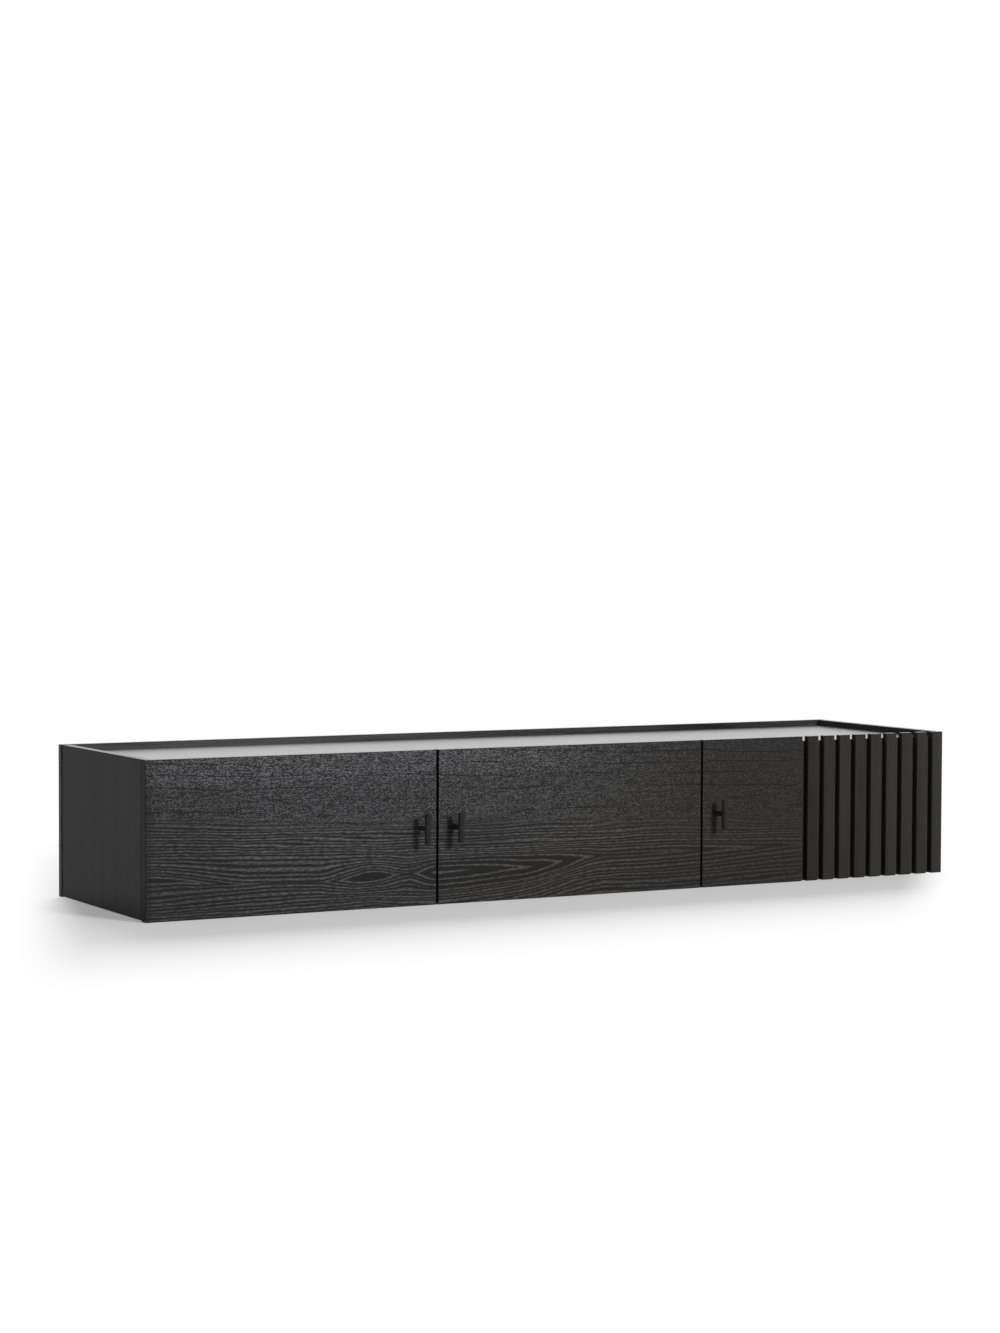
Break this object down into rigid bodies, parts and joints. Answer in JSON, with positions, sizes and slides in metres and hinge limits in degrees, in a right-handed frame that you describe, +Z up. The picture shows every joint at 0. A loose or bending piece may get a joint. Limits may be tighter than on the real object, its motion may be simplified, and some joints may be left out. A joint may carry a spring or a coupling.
{
  "type": "floating sideboard",
  "caption": "Long wall-hung sideboard in black-stained wood with hinged doors, vertical slats at one end, small bar handles and a raised rim round the top.",
  "frame": {"origin": "centre of the back board's face on the wall", "axes": "+X to the right seen from the front, +Y into the wall, so the doors face -Y, +Z up"},
  "size_m": [1.8, 0.486, 0.298],
  "materials": {
    "door_wood": "black-stained, brushed open grain, satin",
    "side_wood": "black-stained, fine grain, satin",
    "top_wood": "black-stained, smooth satin lacquer",
    "carcass_wood": "black-stained, fine grain, satin",
    "back_wood": "black-stained, fine grain, matt",
    "liner_wood": "black-stained board, matt",
    "slat_wood": "black-stained, smooth vertical grain, satin",
    "dowel_wood": "bare beech",
    "black_metal": "matt black powder coat",
    "nickel_steel": "nickel plated steel",
    "black_plastic": "matt black",
    "bumper_rubber": "soft black"
  },
  "bodies": {
    "cabinet": {"left_side": "side_wood", "right_side": "side_wood", "top_panel": "top_wood", "bottom_panel": "carcass_wood", "left_partition": "carcass_wood", "right_partition": "carcass_wood", "back_board": "back_wood", "back_liner": "liner_wood", "carcass_dowels": "dowel_wood", "cam_discs": "nickel_steel", "cam_bolts": "nickel_steel", "back_board_screws": "nickel_steel", "wall_washers": "nickel_steel", "cable_grommets": "black_plastic", "left_hinge_plates": "nickel_steel", "middle_hinge_plates": "nickel_steel", "right_hinge_plates": "nickel_steel", "left_plate_screws": "nickel_steel", "middle_plate_screws": "nickel_steel", "right_plate_screws": "nickel_steel", "left_hinge_arms": "nickel_steel", "middle_hinge_arms": "nickel_steel", "right_hinge_arms": "nickel_steel"},
    "left_link": {"left_hinge_links": "nickel_steel"},
    "left_door": {"left_door": "door_wood", "left_hinge_housings": "nickel_steel", "left_housing_screws": "nickel_steel", "left_handle_bar": "black_metal", "left_handle_post": "black_metal", "left_handle_screw": "nickel_steel", "left_door_bumpers": "bumper_rubber"},
    "middle_link": {"middle_hinge_links": "nickel_steel"},
    "middle_door": {"middle_door": "door_wood", "middle_hinge_housings": "nickel_steel", "middle_housing_screws": "nickel_steel", "middle_handle_bar": "black_metal", "middle_handle_post": "black_metal", "middle_handle_screw": "nickel_steel", "middle_door_bumpers": "bumper_rubber"},
    "right_link": {"right_hinge_links": "nickel_steel"},
    "right_door": {"right_door_panel": "door_wood", "right_door_backing": "liner_wood", "slat_1": "slat_wood", "slat_2": "slat_wood", "slat_3": "slat_wood", "slat_4": "slat_wood", "slat_5": "slat_wood", "slat_6": "slat_wood", "slat_7": "slat_wood", "slat_8": "slat_wood", "slat_9": "slat_wood", "backing_screws": "nickel_steel", "right_hinge_housings": "nickel_steel", "right_housing_screws": "nickel_steel", "right_handle_bar": "black_metal", "right_handle_post": "black_metal", "right_handle_screw": "nickel_steel", "right_door_bumpers": "bumper_rubber"}
  },
  "joints": [
    {"name": "left_link_swing", "type": "hinge", "parent": "cabinet", "child": "left_link", "pos_m": [-0.87, -0.415, 0], "axis": [0, 0, -1], "range_deg": [-44, 0]},
    {"name": "left_door_swing", "type": "hinge", "parent": "left_link", "child": "left_door", "pos_m": [-0.891, -0.4335, 0], "axis": [0, 0, -1], "range_deg": [0, 144]},
    {"name": "middle_link_swing", "type": "hinge", "parent": "cabinet", "child": "middle_link", "pos_m": [0.268, -0.415, 0], "axis": [0, 0, 1], "range_deg": [-44, 0]},
    {"name": "middle_door_swing", "type": "hinge", "parent": "middle_link", "child": "middle_door", "pos_m": [0.289, -0.4335, 0], "axis": [0, 0, 1], "range_deg": [0, 144]},
    {"name": "right_link_swing", "type": "hinge", "parent": "cabinet", "child": "right_link", "pos_m": [0.87, -0.415, 0], "axis": [0, 0, 1], "range_deg": [-44, 0]},
    {"name": "right_door_swing", "type": "hinge", "parent": "right_link", "child": "right_door", "pos_m": [0.891, -0.4335, 0], "axis": [0, 0, 1], "range_deg": [0, 144]}
  ],
  "couplings": [
    {"joint": "left_link_swing", "follows": "left_door_swing", "ratio": -0.3055},
    {"joint": "middle_link_swing", "follows": "middle_door_swing", "ratio": -0.3055},
    {"joint": "right_link_swing", "follows": "right_door_swing", "ratio": -0.3055}
  ]
}
